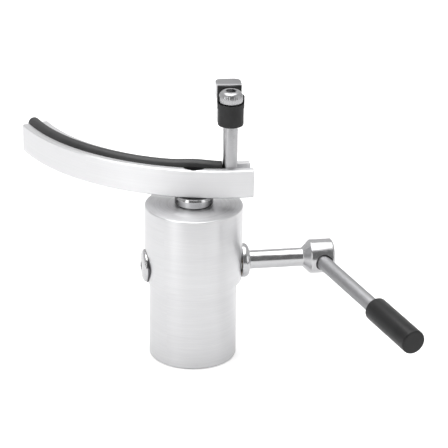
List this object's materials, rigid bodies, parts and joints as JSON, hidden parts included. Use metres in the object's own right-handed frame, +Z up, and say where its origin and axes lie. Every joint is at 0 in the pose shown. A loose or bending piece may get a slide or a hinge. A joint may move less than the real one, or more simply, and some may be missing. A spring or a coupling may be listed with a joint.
{
  "type": "cam-lift rest clamp",
  "caption": "Round aluminium body with a side lever that lifts a pillar carrying a curved, cord-padded rest bar and a swinging rubber-faced finger.",
  "frame": {"origin": "centre of the bottom face of the shank, on the body axis", "axes": "+Z up along the body axis, +X along the cross shaft towards the lever, convex side of the rest bar towards -Y"},
  "size_m": [0.1439, 0.1372, 0.1151],
  "materials": {
    "turned_aluminium": "fine turned, satin",
    "brushed_aluminium": "brushed along its length",
    "polished_steel": "polished",
    "satin_steel": "satin",
    "dark_steel": "dark, oiled",
    "bronze": "plain machined",
    "black_rubber": "matte",
    "black_plastic": "satin"
  },
  "bodies": {
    "base": {"body_housing": "turned_aluminium", "bottom_cap": "brushed_aluminium", "cap_screw_1": "dark_steel", "cap_screw_2": "dark_steel", "cap_screw_3": "dark_steel", "pillar_bush": "bronze", "cam_bush_left": "bronze", "cam_bush_right": "bronze", "return_spring": "satin_steel"},
    "cam": {"cam_shaft": "polished_steel", "end_washer": "dark_steel", "end_screw": "polished_steel", "lever_rod": "satin_steel", "lever_grip": "black_plastic"},
    "tappet": {"lift_tappet": "dark_steel"},
    "rest": {"pillar": "polished_steel", "rest_bar": "brushed_aluminium", "bar_screw": "dark_steel", "bar_dowel": "satin_steel", "pad_cord": "black_rubber", "finger_post": "satin_steel", "post_screw": "dark_steel", "finger_washer": "black_rubber", "finger_screw": "polished_steel"},
    "finger": {"finger_block": "satin_steel", "finger_sleeve": "black_rubber"}
  },
  "joints": [
    {"name": "lever_turn", "type": "hinge", "parent": "base", "child": "cam", "pos_m": [0, 0, 0.04], "axis": [-1, 0, 0], "range_deg": [-20, 65]},
    {"name": "tappet_lift", "type": "slide", "parent": "base", "child": "tappet", "axis": [0, 0, 1], "range_m": [-0.00045, 0.00145], "deforming": ["return_spring"]},
    {"name": "rest_swivel", "type": "hinge", "parent": "tappet", "child": "rest", "pos_m": [0, 0, 0.0493], "axis": [0, 0, 1], "range_deg": [-120, 120]},
    {"name": "finger_turn", "type": "hinge", "parent": "rest", "child": "finger", "pos_m": [0.01419, -0.00221, 0.105], "axis": [0, 0, 1], "range_deg": [-90, 90]}
  ],
  "couplings": [
    {"joint": "tappet_lift", "follows": "lever_turn", "m_per_rad": 0.001275}
  ]
}
